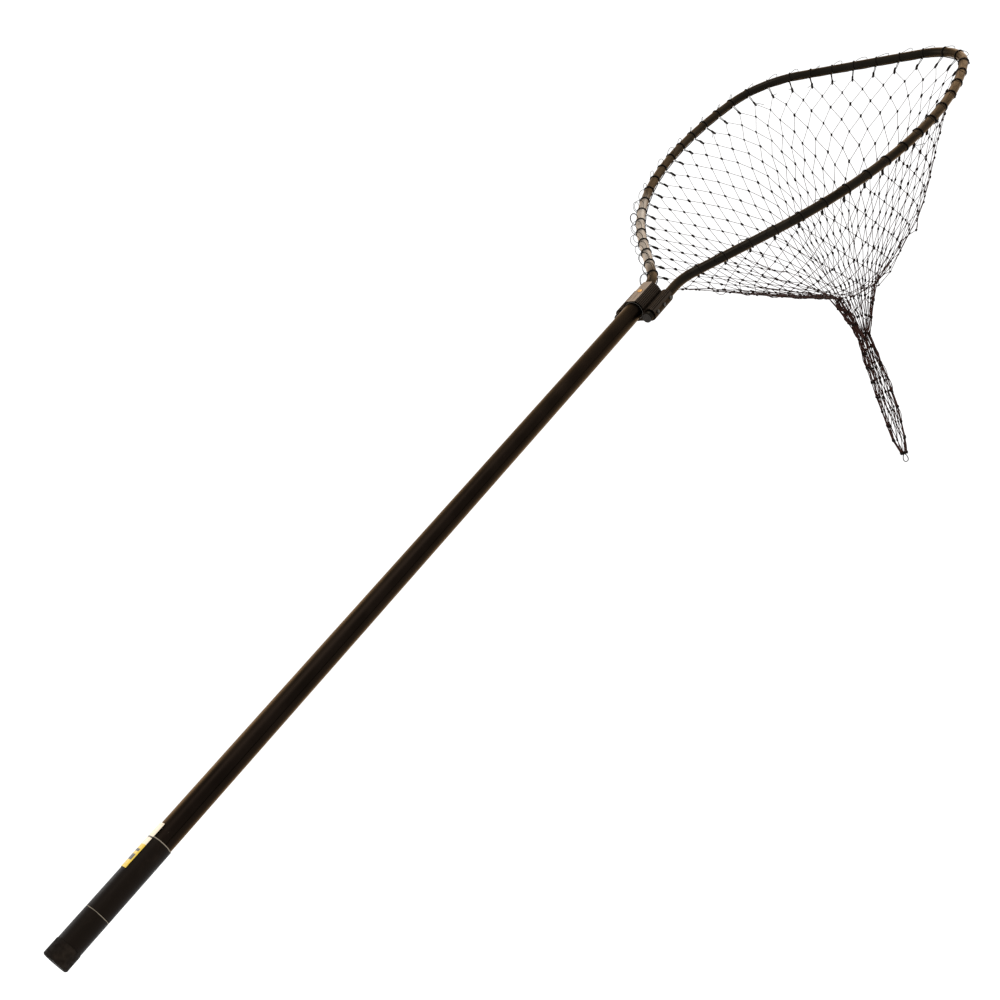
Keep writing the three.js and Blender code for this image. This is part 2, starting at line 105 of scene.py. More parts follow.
# Lashing: the stations of its two ends, and the angle round the tube at which its cord is laid
LASHING_NEAR_BACK = 1.322
LASHING_FAR_BACK = 1.264
TIE_ANGLE = math.radians(221)
CORD_RADIUS = 0.0009
CORD_GAP = 0.0001
CORD_SAG = 0.0006
WRAP_LENGTH = 0.0065
WRAP_STEPS = 16
WRAP_LEAN = 0.12
CORD_WANDER = 0.06
CORD_SIDES = 8
THIN_CORD_SIDES = 6
RUN_STEPS = 4

# Spare loops of thin twine beside the lashing's turns. Each pair is a least and a most
TIE_RADIUS = 0.0005
TIE_STEPS = 12
TIE_SETBACK = 0.004
TIES_NEAR_YOKE = 8
TIE_STAND = (0.003, 0.0075)
TIE_STAND_NEAR_YOKE = (0.007, 0.013)
TIE_LENGTH = (0.012, 0.022)
TIE_MIDDLE_DEGREES = (20, 80)
TIE_SPREAD_DEGREES = (35, 60)

# Leads from the lashing to the first knots
LEAD_LENGTH = 0.014
LEAD_RADIUS = 0.0007
LEAD_KNOT_RADIUS = 0.0025
LEAD_KNOT_STRETCH = 2.6
LEAD_DROP = 0.0015
LEAD_SPREAD = 0.0011
LEAD_CLOSEST = 0.0002
LOOSE_END_SHARE = 0.45
LOOSE_END_LENGTH = (0.006, 0.014)

# Netting: meshes round the hoop, and knots in each row below the leads. The last TAIL_ROWS are the tail
KNOTS_ROUND_HOOP = 46
KNOTS_ROUND = [46] * 9 + [44, 42, 40, 37, 34, 30, 26, 22] + [18, 17, 16, 15, 14, 13, 12]
TAIL_ROWS = 8
ROW_SHIFT = 0.37

# Bars between knots. They are longer on the side of the bag towards the hoop's legs
BAR_LENGTH = 0.0345
BAR_EASE = 0.09
TAIL_BAR_LENGTH = 0.0308
TWINE_RADIUS = 0.0004
LOWER_TWINE = 1.75
STRAND_POINTS = 5
STRAND_SIDES = 5
STRAND_SAG = 0.8
MOST_BULGE = 0.35
LEAST_BULGE = 0.0003

# Knots: lobed lumps with a waist, stretched along their bars
KNOT_RADIUS = 0.0021
KNOT_STRETCH = 1.55
KNOT_VARIES = (0.85, 1.15)
KNOT_THICKNESS = (0.85, 1.1)
LOBES = 3
LOBE_DEPTH = 0.16
LOBE_TWIST = 2.4
WAIST_DEPTH = 0.18
WAIST_WIDTH = 0.3

# Gathered throat and tail
FUNNEL_ROWS = 4
FUNNEL_ROW_HEIGHT = 0.028
FUNNEL_ROW_SPREAD = 0.0145
THROAT_MOST = 0.013
THROAT_LEAST = 0.010
TAIL_BELLY = 0.016
BELLY_CURVE = 0.7
TAIL_END_RADIUS = 0.006
TAIL_END_LIFT = 0.001
TAIL_FROM_CORNER = 0.015

# Whipping and ring at the tail's end
RING_CORD = 2.2 * TWINE_RADIUS
RING_POINTS = 36
RING_TWIST = 0.1
RING_FOOT = 0.002
WHIPPING_CORD = 1.2 * TWINE_RADIUS
WHIPPING_TURNS = 5
WHIPPING_POINTS = 90
WHIPPING_TOP = 0.002
WHIPPING_LENGTH = 0.0045

# Hanging: the funnel that it starts from, its steps, and how its knots are held apart
CLOSING_CURVE = 1.6
FALLING_CURVE = 1.2
TAIL_START_RADIUS = 0.012
FIRST_SHAKE = 0.0015
NET_STEPS = 300
NET_PASSES = 30
NET_PULL = 2.0
NET_TICK = 0.02
SPEED_KEPT = 0.96
FASTEST_KNOT = 2.0
SLACK_STIFFNESS = 0.02
TIGHTENING_PASSES = 250
KNOT_GAP = 0.005
PARTING_SHARE = 0.25
OPENING_SHARE = 0.3

# Camera: it looks level, and is turned a little about its own line of sight
CAMERA_PLACE = (-0.3284, -1.2669, 0.2558)
CAMERA_HEADING = math.radians(53.5)
CAMERA_PITCH = math.radians(0.03)
CAMERA_ROLL = math.radians(17.95)
CAMERA_LENS = 41.4
CAMERA_SENSOR = 36
CAMERA_REACH = 60

# Studio: each light's place from the object's middle, size and watts
FLOOR_DROP = 0.60
FLOOR_REACH = 12
STUDIO_STRENGTH = 1.15
LIGHTS = {
    "key": ((-0.6, -1.2, 2.4), 1.6, 30),
    "fill": ((1.8, -0.4, 1.4), 1.4, 8),
    "back": ((-0.8, 2.2, 1.8), 1.8, 24),
}


# ---- Places ----

def joint_axis(name):
    """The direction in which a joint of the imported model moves."""
    return next(Vector(joint["axis"]) for joint in frame["joints"] if joint["name"] == name).normalized()


ALONG = joint_axis("head_slide")
UP = -joint_axis("button_press")
ACROSS = UP.cross(ALONG)
HANDLE_AXES = np.array([ALONG, ACROSS, UP])


def spot(station, across, up):
    """A place given in the handle's own axes."""
    return np.array([station - GRIP_STATION, across, up]) @ HANDLE_AXES


def unit(vectors):
    """The vectors with length 1."""
    vectors = np.asarray(vectors, float)
    return vectors / np.maximum(np.linalg.norm(vectors, axis=-1, keepdims=True), 1e-12)


def step_along(place, heading, length, turn):
    """Where a run that turns evenly ends: a chord of its arc."""
    chord = length if turn == 0 else length * math.sin(turn / 2) / (turn / 2)
    middle = heading + turn / 2
    return place[0] + chord * math.cos(middle), place[1] + chord * math.sin(middle)


def hoop_runs():
    """One half of the hoop as (length, turn, start, heading at the start)."""
    turns = [
        (LEG_FRONT - LEG_BACK, 0.0),
        (NECK_RADIUS * NECK_HEADING, NECK_HEADING),
        (SHOULDER_LENGTH, 0.0),
        (SIDE_RADIUS * (NECK_HEADING - SIDE_HEADING), SIDE_HEADING - NECK_HEADING),
        (CORNER_RADIUS * (SIDE_HEADING + math.pi / 2), -math.pi / 2 - SIDE_HEADING),
    ]
    runs = []
    place, heading = (LEG_BACK, LEG_SPREAD), 0.0
    for length, turn in turns:
        runs.append((length, turn, place, heading))
        place = step_along(place, heading, length, turn)
        heading += turn
    runs.append((place[1], 0.0, place, heading))
    return runs


HOOP_RUNS = hoop_runs()
HALF_HOOP = sum(run[0] for run in HOOP_RUNS)


def corners_of(name):
    """Lowest and highest corners of a CAD node, as arrays."""
    return tuple(np.array(corner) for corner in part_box(name))


def hoop_frame(travelled):
    """Centre and outward direction of the hoop's tube, from the near leg round to the far leg."""
    side = -1 if travelled < HALF_HOOP else 1
    left = min(travelled, 2 * HALF_HOOP - travelled)
    for length, turn, place, heading in HOOP_RUNS:
        if left <= length or length == HOOP_RUNS[-1][0]:
            share = left / length
            station, across = step_along(place, heading, left, turn * share)
            bearing = heading + turn * share
            break
        left -= length
    centre = spot(station, side * across, -LEG_DROP)
    outward = np.array([-math.sin(bearing), side * math.cos(bearing), 0]) @ HANDLE_AXES
    return centre, outward


# ---- Meshes ----

class Shape:
    """Gathers the points and faces of one mesh. Each face corner keeps a texture place (along, round)."""

    def __init__(self):
        self.points = []
        self.faces = []
        self.places = []

    def tube(self, path, radius, sides, closed=False):
        """A round cord along the path. The radius is one number, or one for each point."""
        path = np.asarray(path, float)
        count = len(path)
        radii = np.broadcast_to(np.asarray(radius, float), (count,))
        along, normal = path_frames(path, closed)
        binormal = np.cross(along, normal)
        angles = 2 * math.pi * np.arange(sides) / sides
        cosines, sines = np.cos(angles)[None, :, None], np.sin(angles)[None, :, None]
        rings = path[:, None] + radii[:, None, None] * (cosines * normal[:, None] + sines * binormal[:, None])
        first = len(self.points)
        self.points.extend(rings.reshape(-1, 3))
        gaps = np.linalg.norm(np.roll(path, -1, 0) - path, axis=1)
        travelled = np.concatenate([[0], np.cumsum(gaps)])
        for ring in range(count if closed else count - 1):
            self.band(first + ring * sides, first + (ring + 1) % count * sides, sides,
                      travelled[ring], travelled[ring + 1])
        if not closed:
            self.cap(list(range(first, first + sides))[::-1])
            self.cap(list(range(first + (count - 1) * sides, first + count * sides)))

    def band(self, lower, upper, sides, start, end):
        """Faces between two rings of a tube, from how far along they are."""
        for side in range(sides):
            turn = (side + 1) % sides
            self.faces.append((lower + side, lower + turn, upper + turn, upper + side))
            near, far = side / sides, (side + 1) / sides
            self.places.extend([(start, near), (start, far), (end, far), (end, near)])

    def cap(self, corners):
        """One flat face, with no texture place of its own."""
        self.faces.append(tuple(corners))
        self.places.extend([(0, 0)] * len(corners))

    def solid(self, points, faces):
        """A closed lump of its own points."""
        first = len(self.points)
        self.points.extend(points)
        for face in faces:
            self.cap([first + corner for corner in face])

    def build(self, name, look, body, slot, replaced=()):
        """Makes the piece, which rides on a body, and hides the CAD nodes that it stands for."""
        mesh = bpy.data.meshes.new(name)
        mesh.from_pydata([tuple(point) for point in self.points], [], self.faces)
        texture = mesh.uv_layers.new(name="Along")
        texture.data.foreach_set("uv", np.array(self.places, np.float32).ravel())
        mesh.polygons.foreach_set("use_smooth", [True] * len(mesh.polygons))
        mesh.materials.append(look)
        mesh.update()
        piece = bpy.data.objects.new(name, mesh)
        bpy.context.scene.collection.objects.link(piece)
        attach(piece, body)
        if replaced:
            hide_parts(*replaced)


def path_frames(path, closed):
    """Directions along a path and steady directions across it, which don't twist."""
    if closed:
        along = unit(np.roll(path, -1, 0) - np.roll(path, 1, 0))
    else:
        along = unit(np.vstack([path[1:], path[-1:]]) - np.vstack([path[:1], path[:-1]]))
    across = [any_across(along[0])]
    for direction in along[1:]:
        last = across[-1]
        across.append(unit(last - direction * last.dot(direction)))
    return along, np.array(across)


def any_across(direction):
    """A direction square to the one given."""
    lowest = np.zeros(3)
    lowest[np.argmin(np.abs(direction))] = 1
    return unit(np.cross(direction, lowest))


# ---- Finishes ----

# Noise patterns repeat this often in a metre: one number, or one each along, across and up
DRAWN_LINES = (6, 900, 900)
ROLLED_LINES = (60, 1400, 1400)
PAINTED_LIGHT_STREAKS = (40, 500, 500)
NICKS = (70, 260, 260)
SLEEVE_RIPPLES = (120, 700, 700)
SHEEN_CLOUDS = 22
PAINTED_LIGHT_PATCHES = 40
SLEEVE_CLOUDS = 45
DUST = 60
MOULDED_CLOUDS = 70
RUBBER_BLOOM = 90
LIP_WANDER = 120
STICKER_SCUFFS = 260
RUBBER_CLOUDS = 300
MOULDED_SHEEN = 400
TARNISH = 500
STEEL_FILM = 700
PAPER_GRAIN = 900
CORD_FIBRES = 1400
RUBBER_GRAIN = 1500
SPARK_PITS = 1600
BRASS_SCRATCHES = 1800

WARM_SHEEN = (1.0, 0.80, 0.64)
# The painted light on the hoop's far arm runs between these distances past the ends of its legs
HOOP_PAINTED_LIGHT_START = 0.03
HOOP_PAINTED_LIGHT_END = 0.30
RIB_EDGE = 0.0002
RIB_DEPTH = 0.0004
FLAT_SKIN = 0.0002
FLAT_CORNER = 0.0012
LIP_BACK = 0.0002
LIP_FRONT = 0.0008
LIP_EDGE = 0.0002


class Finish:
    """A material's nodes, with short calls for the ones that the finishes share."""

    def __init__(self, name, colour, roughness, metallic=0.0):
        self.material = bpy.data.materials.new(name)
        self.material.use_nodes = True
        self.tree = self.material.node_tree
        self.shader = self.tree.nodes["Principled BSDF"]
        self.give("Base Color", (*colour, 1))
        self.give("Roughness", roughness)
        self.give("Metallic", metallic)

    def give(self, name, value):
        self.feed(self.shader.inputs[name], value)

    def feed(self, socket, value):
        if isinstance(value, bpy.types.NodeSocket):
            self.tree.links.new(value, socket)
        else:
            socket.default_value = value

    def node(self, kind, inputs=None, **settings):
        made = self.tree.nodes.new(kind)
        for key, value in settings.items():
            setattr(made, key, value)
        for key, value in (inputs or {}).items():
            self.feed(made.inputs[key], value)
        return made

    def object_place(self):
        return self.node("ShaderNodeTexCoord").outputs["Object"]

    def handle_place(self, scale=(1, 1, 1)):
        """Places in the handle's own axes, from the grip, each axis scaled."""
        place = self.object_place()
        parts = []
        for axis in (ALONG, ACROSS, UP):
            product = self.node("ShaderNodeVectorMath", {0: place, 1: tuple(axis)}, operation="DOT_PRODUCT")
            parts.append(product.outputs["Value"])
        joined = self.node("ShaderNodeCombineXYZ", {"X": parts[0], "Y": parts[1], "Z": parts[2]}).outputs[0]
        return self.node("ShaderNodeVectorMath", {0: joined, 1: scale}, operation="MULTIPLY").outputs[0]

    def parts_of(self, vector):
        return self.node("ShaderNodeSeparateXYZ", {0: vector}).outputs

    def noise(self, vector, scale, detail=3.0, roughness=0.5):
        return self.node("ShaderNodeTexNoise", {
            "Vector": vector, "Scale": scale, "Detail": detail, "Roughness": roughness}).outputs["Fac"]

    def spots(self, vector, scale):
        return self.node("ShaderNodeTexVoronoi", {"Vector": vector, "Scale": scale}).outputs["Distance"]

    def math(self, operation, first, second=0.0):
        return self.node("ShaderNodeMath", {0: first, 1: second}, operation=operation).outputs[0]

    def between(self, value, low, high, to_low=0.0, to_high=1.0):
        """The value's place between low and high, as a number between the other two."""
        return self.node("ShaderNodeMapRange", {
            "Value": value, "From Min": low, "From Max": high, "To Min": to_low, "To Max": to_high},
            interpolation_type="SMOOTHSTEP").outputs[0]

    def band(self, value, low, high, edge):
        """1 between low and high, and 0 beyond them."""
        rising = self.between(value, low - edge, low + edge)
        falling = self.between(value, high - edge, high + edge, 1.0, 0.0)
        return self.math("MULTIPLY", rising, falling)

    def mix(self, share, first, second):
        """The first colour where the share is 0, and the second where it is 1."""
        colours = [(*colour, 1) if isinstance(colour, tuple) else colour for colour in (first, second)]
        inputs = {0: share, 6: colours[0], 7: colours[1]}
        return self.node("ShaderNodeMix", inputs, data_type="RGBA").outputs[2]

    def shine(self, level, tint=WARM_SHEEN):
        """How strongly a plain surface mirrors its surroundings, and the colour of that sheen."""
        self.give("Specular IOR Level", level)
        self.give("Specular Tint", (*tint, 1))

    def bump(self, height, distance, strength=1.0):
        made = self.node("ShaderNodeBump", {"Height": height, "Distance": distance, "Strength": strength})
        self.give("Normal", made.outputs[0])


def anodised(name, deep, worn, roughness, wear=0.5):
    """Satin anodised aluminium tube: drawn lines along it, cloudy sheen, and small rubbed marks."""
    finish = Finish(name, deep, roughness, 1.0)
    finish.give("Specular Tint", (*WARM_SHEEN, 1))
    lines = finish.noise(finish.handle_place(DRAWN_LINES), 1.0, 2.0)
    clouds = finish.noise(finish.object_place(), SHEEN_CLOUDS, 4.0)
    nicks = finish.noise(finish.handle_place(NICKS), 1.0, 5.0, 0.62)
    rubbed = finish.between(nicks, 0.80 - 0.22 * wear, 0.86 - 0.14 * wear)
    cloudy = finish.between(clouds, 0.3, 0.75)
    shade = finish.mix(cloudy, deep, tuple(1.45 * part for part in deep))
    finish.give("Base Color", finish.mix(finish.math("MULTIPLY", rubbed, 0.55), shade, worn))
    grain = finish.math("ADD", finish.math("MULTIPLY", lines, 0.35), finish.math("MULTIPLY", clouds, 0.65))
    finish.give("Roughness", finish.between(grain, 0.3, 0.7, roughness - 0.07, roughness + 0.1))
    finish.bump(finish.math("ADD", lines, finish.math("MULTIPLY", rubbed, -0.6)), 0.00002)
    return finish


def handle_finish():
    """Satin black-bronze tube with few marks."""
    return anodised("handle_anodised", (0.0062, 0.0042, 0.0030), (0.06, 0.045, 0.032), 0.36).material


def hoop_finish():
    """Olive-bronze tube, with painted light: a pale wash in patches on the far arm where it spreads from the
    yoke.
    """
    finish = anodised("hoop_anodised", (0.0085, 0.0072, 0.0055), (0.10, 0.085, 0.065), 0.34)
    shade = finish.shader.inputs["Base Color"].links[0].from_socket
    # Painted light: a pale wash, broken into patches, over the far arm's first stretch from the yoke
    place = finish.parts_of(finish.handle_place())
    leg_end = LEG_FRONT - GRIP_STATION
    along = finish.band(place["X"], leg_end + HOOP_PAINTED_LIGHT_START, leg_end + HOOP_PAINTED_LIGHT_END, 0.05)
    across = finish.between(place["Y"], 0.03, 0.07)
    patchy = finish.between(finish.noise(finish.object_place(), PAINTED_LIGHT_PATCHES, 4.0), 0.25, 0.6, 0.35, 1.0)
    pale = finish.math("MULTIPLY", finish.math("MULTIPLY", along, across), patchy)
    finish.give("Base Color", finish.mix(pale, shade, (0.34, 0.315, 0.28)))
    return finish.material


def rib_crests(finish, place):
    """1 on the outer faces of the ribs round the barrel and round both bosses."""
    beside = finish.math("SUBTRACT", finish.math("ABSOLUTE", place["Y"]), LEG_SPREAD)
    lowered = finish.math("ADD", place["Z"], LEG_DROP)
    crests = []
    for across, up, radius in ((place["Y"], place["Z"], BARREL_RADIUS), (beside, lowered, BOSS_RADIUS)):
        squares = finish.math("ADD", finish.math("MULTIPLY", across, across), finish.math("MULTIPLY", up, up))
        out = finish.math("SQRT", squares)
        crests.append(finish.band(out, radius - RIB_DEPTH, radius + RIB_DEPTH, RIB_EDGE))
    return finish.math("MAXIMUM", *crests)


def yoke_finish():
    """Dark ribbed extrusion, with painted light on its flat top and painted shade in the grooves between its
    ribs.
    """
    finish = anodised("yoke_anodised", (0.0072, 0.0054, 0.0042), (0.16, 0.125, 0.095), 0.38, 0.8)
    shade = finish.shader.inputs["Base Color"].links[0].from_socket
    place = finish.parts_of(finish.handle_place())
    # Painted shade: the grooves between the ribs stay darker than the ribs' outer faces, which are also a
    # little rubbed
    ribs = finish.math("MULTIPLY", rib_crests(finish, place), 0.6)
    shade = finish.mix(ribs, shade, (0.045, 0.036, 0.029))
    # Painted light: the flat top face is mixed towards a pale bronze, broken into streaks, where it catches
    # the light
    top = finish.between(place["Z"], YOKE_FLAT_HEIGHT - FLAT_CORNER, YOKE_FLAT_HEIGHT - FLAT_SKIN)
    streaks = finish.noise(finish.handle_place(PAINTED_LIGHT_STREAKS), 1.0, 4.0)
    worn = finish.math("MULTIPLY", top, finish.between(streaks, 0.25, 0.6, 0.45, 0.95))
    finish.give("Base Color", finish.mix(worn, shade, (0.30, 0.24, 0.19)))
    return finish.material


def rubber_finish():
    """Matt rubber: fine moulded grain, chalky bloom and a few pale scuffs."""
    finish = Finish("cap_rubber", (0.03, 0.028, 0.026), 0.8)
    finish.shine(0.10)
    place = finish.object_place()
    bloom = finish.between(finish.noise(place, RUBBER_BLOOM, 5.0), 0.45, 0.8)
    finish.give("Base Color", finish.mix(bloom, (0.0036, 0.0025, 0.0018), (0.0105, 0.0074, 0.0052)))
    finish.give("Roughness", finish.between(finish.noise(place, RUBBER_CLOUDS), 0.3, 0.7, 0.62, 0.9))
    finish.bump(finish.noise(place, RUBBER_GRAIN, 2.0), 0.00012)
    return finish.material


def vinyl_finish():
    """Thin shrunk sleeve: soft sheen, faint ripples, and a painted highlight along the lip at each cut end.
    """
    finish = Finish("grip_vinyl", (0.02, 0.018, 0.016), 0.45)
    finish.shine(0.07)
    place = finish.object_place()
    # Painted highlight: a pale band that wanders round the sleeve at each cut end, where the lip catches the
    # light
    wavy = finish.math("MULTIPLY", finish.noise(place, LIP_WANDER, 2.0), 0.0016)
    station = finish.math("ADD", finish.parts_of(finish.handle_place())["X"], wavy)
    lip_highlights = [
        finish.band(station, end - GRIP_STATION - LIP_BACK, end - GRIP_STATION + LIP_FRONT, LIP_EDGE)
        for end in (SLEEVE_JOINT, SLEEVE_FRONT)
    ]
    lip_highlight = finish.math("MAXIMUM", *lip_highlights)
    dust = finish.between(finish.noise(place, DUST, 6.0, 0.65), 0.5, 0.75)
    shade = finish.mix(finish.math("MULTIPLY", dust, 0.5), (0.0030, 0.0019, 0.0013), (0.0100, 0.0064, 0.0042))
    finish.give("Base Color", finish.mix(lip_highlight, shade, (0.20, 0.17, 0.13)))
    finish.give("Roughness", finish.between(finish.noise(place, SLEEVE_CLOUDS, 3.0), 0.3, 0.7, 0.34, 0.52))
    finish.bump(finish.noise(finish.handle_place(SLEEVE_RIPPLES), 1.0, 3.0), 0.00012)
    return finish.material


def label_finish():
    """Generic sticker: white ground, a yellow panel with plain dark blocks, rubbed at its edges."""
    finish = Finish("label_paper", (0.85, 0.82, 0.74), 0.35)
    finish.shine(0.3)
    place = finish.parts_of(finish.handle_place())
    along = finish.between(place["X"], LABEL_BACK - GRIP_STATION, LABEL_FRONT - GRIP_STATION)
    round_it = finish.math("ARCTAN2", place["Z"], place["Y"])
    panel = finish.band(along, -0.2, 0.52, 0.01)
    first_block = finish.band(along, 0.07, 0.2, 0.008)
    second_block = finish.band(along, 0.28, 0.36, 0.008)
    blocks = finish.math("MAXIMUM", first_block, second_block)
    blocks = finish.math("MULTIPLY", blocks, finish.band(round_it, 0.95, 1.6, 0.02))
    stripe = finish.band(along, 0.74, 0.78, 0.008)
    colour = finish.mix(panel, (0.66, 0.57, 0.43), (0.58, 0.40, 0.05))
    colour = finish.mix(finish.math("MAXIMUM", blocks, stripe), colour, (0.03, 0.027, 0.024))
    scuffs = finish.between(finish.noise(finish.object_place(), STICKER_SCUFFS, 6.0, 0.7), 0.55, 0.72)
    colour = finish.mix(finish.math("MULTIPLY", scuffs, 0.6), colour, (0.34, 0.30, 0.24))
    finish.give("Base Color", colour)
    finish.give("Roughness", finish.between(scuffs, 0, 1, 0.28, 0.7))
    finish.bump(finish.noise(finish.object_place(), PAPER_GRAIN, 3.0), 0.00003)
    return finish.material


def brass_finish():
    """Button brass, bright where the thumb rubs and brown round its foot."""
    finish = Finish("button_brass", (0.62, 0.36, 0.12), 0.3, 1.0)
    place = finish.object_place()
    tarnish = finish.between(finish.noise(place, TARNISH, 5.0, 0.6), 0.4, 0.7)
    finish.give("Base Color", finish.mix(tarnish, (0.74, 0.40, 0.13), (0.34, 0.16, 0.05)))
    finish.give("Roughness", finish.between(tarnish, 0, 1, 0.24, 0.5))
    finish.bump(finish.noise(place, BRASS_SCRATCHES, 3.0), 0.00004)
    return finish.material


def plastic_finish(name, colour, roughness):
    """Moulded plastic with a fine spark-eroded texture."""
    finish = Finish(name, colour, roughness)
    finish.shine(0.15)
    place = finish.object_place()
    cloudy = finish.between(finish.noise(place, MOULDED_CLOUDS, 4.0), 0.3, 0.7)
    finish.give("Base Color", finish.mix(cloudy, colour, tuple(1.8 * part for part in colour)))
    sheen = finish.noise(place, MOULDED_SHEEN, 3.0)
    finish.give("Roughness", finish.between(sheen, 0.3, 0.7, roughness - 0.08, roughness + 0.1))
    finish.bump(finish.spots(place, SPARK_PITS), 0.00006)
    return finish.material


def steel_finish(name, deep, worn, roughness):
    """Rolled steel: fine lines, darker film and bright rubbed edges."""
    finish = Finish(name, deep, roughness, 1.0)
    lines = finish.noise(finish.handle_place(ROLLED_LINES), 1.0, 3.0)
    film = finish.between(finish.noise(finish.object_place(), STEEL_FILM, 4.0, 0.6), 0.4, 0.66)
    finish.give("Base Color", finish.mix(film, deep, worn))
    finish.give("Roughness", finish.between(lines, 0.3, 0.7, roughness - 0.08, roughness + 0.12))
    finish.bump(lines, 0.00003)
    return finish.material


def cord_finish(name, dark, pale, strands, pitch):
    """Braided or twisted cord: slanting strands that cross round it, with dry pale fibres on their crowns."""
    finish = Finish(name, dark, 0.85)
    finish.shine(0.1)
    place = finish.parts_of(finish.node("ShaderNodeUVMap", uv_map="Along").outputs[0])
    turns = finish.math("MULTIPLY", place["X"], strands / pitch)
    round_it = finish.math("MULTIPLY", place["Y"], strands)
    leaning = [
        finish.math("SINE", finish.math("MULTIPLY", finish.math(operation, turns, round_it), 2 * math.pi))
        for operation in ("ADD", "SUBTRACT")
    ]
    height = finish.math("MAXIMUM", *leaning)
    fibre = finish.noise(finish.object_place(), CORD_FIBRES, 3.0, 0.6)
    crowns = finish.math("MULTIPLY", finish.between(height, 0.2, 1.0), finish.between(fibre, 0.35, 0.7))
    finish.give("Base Color", finish.mix(crowns, dark, pale))
    finish.give("Roughness", finish.between(fibre, 0.3, 0.7, 0.7, 0.95))
    finish.bump(finish.math("ADD", height, finish.math("MULTIPLY", fibre, 0.6)), 0.0002)
    return finish.material


HANDLE_LOOK = handle_finish()
HOOP_LOOK = hoop_finish()
YOKE_LOOK = yoke_finish()
RUBBER_LOOK = rubber_finish()
VINYL_LOOK = vinyl_finish()
LABEL_LOOK = label_finish()
BRASS_LOOK = brass_finish()
PLUG_LOOK = plastic_finish("plug_plastic", (0.012, 0.011, 0.010), 0.5)
BUSH_LOOK = plastic_finish("bush_nylon", (0.045, 0.042, 0.037), 0.55)
SPRING_LOOK = steel_finish("spring_steel", (0.34, 0.34, 0.33), (0.62, 0.62, 0.6), 0.3)
SCREW_LOOK = steel_finish("screw_steel", (0.030, 0.027, 0.024), (0.13, 0.12, 0.105), 0.42)
LASHING_LOOK = cord_finish("lashing_cord", (0.0035, 0.0028, 0.0024), (0.018, 0.014, 0.011), 4, 0.008)
TWINE_LOOK = cord_finish("net_twine", (0.024, 0.009, 0.007), (0.075, 0.034, 0.026), 3, 0.0045)
KNOT_LOOK = cord_finish("net_knots", (0.0040, 0.0024, 0.0020), (0.018, 0.010, 0.008), 3, 0.0045)

NODE_LOOKS = {
    "handle_tube": HANDLE_LOOK,
    "butt_cap": RUBBER_LOOK,
    "grip_sleeve_rear": VINYL_LOOK,
    "grip_sleeve_front": VINYL_LOOK,
    "label": LABEL_LOOK,
    "front_plug": PLUG_LOOK,
    "spring_leaf_lower": SPRING_LOOK,
    "spring_leaf_upper": SPRING_LOOK,
    "lock_button": BRASS_LOOK,
    "yoke_body": YOKE_LOOK,
    "rear_bush": BUSH_LOOK,
    "front_bush": BUSH_LOOK,
    "hoop_plug_near": PLUG_LOOK,
    "hoop_plug_far": PLUG_LOOK,
}


def finish_node(node):
    """Gives a CAD node its finish, and smooths the light over its facets but not over its edges.

    A node that is hidden behind a finer piece gets the twine's finish.
    """
    look = SCREW_LOOK if node.name.startswith("clamp_screw") else NODE_LOOKS.get(node.name, TWINE_LOOK)
    node.data.materials.clear()
    node.data.materials.append(look)
    node.data.polygons.foreach_set("use_smooth", [True] * len(node.data.polygons))
    weld = node.modifiers.new("weld", "WELD")
    weld.merge_threshold = WELD_REACH
    edges = node.modifiers.new("edges", "EDGE_SPLIT")
    edges.split_angle = RIB_ANGLE if node.name == "yoke_body" else FACET_ANGLE
    node.modifiers.new("light", "WEIGHTED_NORMAL")


# ---- Hoop and lashing ----

def hoop_tube():
    """The hoop's tube with its wall, open at the two ends in the yoke."""
    shape = Shape()
    steps = round(2 * HALF_HOOP / HOOP_STEP)
    path = np.array([hoop_frame(2 * HALF_HOOP * step / steps)[0] for step in range(steps + 1)])
    shape.tube(path, HOOP_RADIUS, HOOP_SIDES)
    shape.tube(path, HOOP_RADIUS - HOOP_WALL, HOOP_SIDES)
    rim = len(shape.points) // 2
    faces = len(shape.faces) // 2
    inner = [tuple(reversed(face)) for face in shape.faces[faces:-2]]
    shape.faces = shape.faces[:faces - 2] + inner
    shape.places = shape.places[:4 * (faces - 2)] * 2
    last = rim - HOOP_SIDES
    for side in range(HOOP_SIDES):
        turn = (side + 1) % HOOP_SIDES
        shape.cap([side, side + rim, turn + rim, turn])
        shape.cap([last + side, last + turn, last + turn + rim, last + side + rim])
    shape.build("hoop_tube", HOOP_LOOK, "head", "hoop_anodised", ["hoop"])


def tie_places():
    """How far round the hoop each mesh of the netting is tied."""
    near, far = LASHING_NEAR_BACK - LEG_BACK, 2 * HALF_HOOP - (LASHING_FAR_BACK - LEG_BACK)
    return np.linspace(near, far, KNOTS_ROUND_HOOP)


def round_hoop(travelled, angle, reach):
    """A place beside the hoop's tube: the angle goes from outward to up and on round to inward and below."""
    centre, outward = hoop_frame(travelled)
    return centre + reach * (math.cos(angle) * outward + math.sin(angle) * np.array(UP))


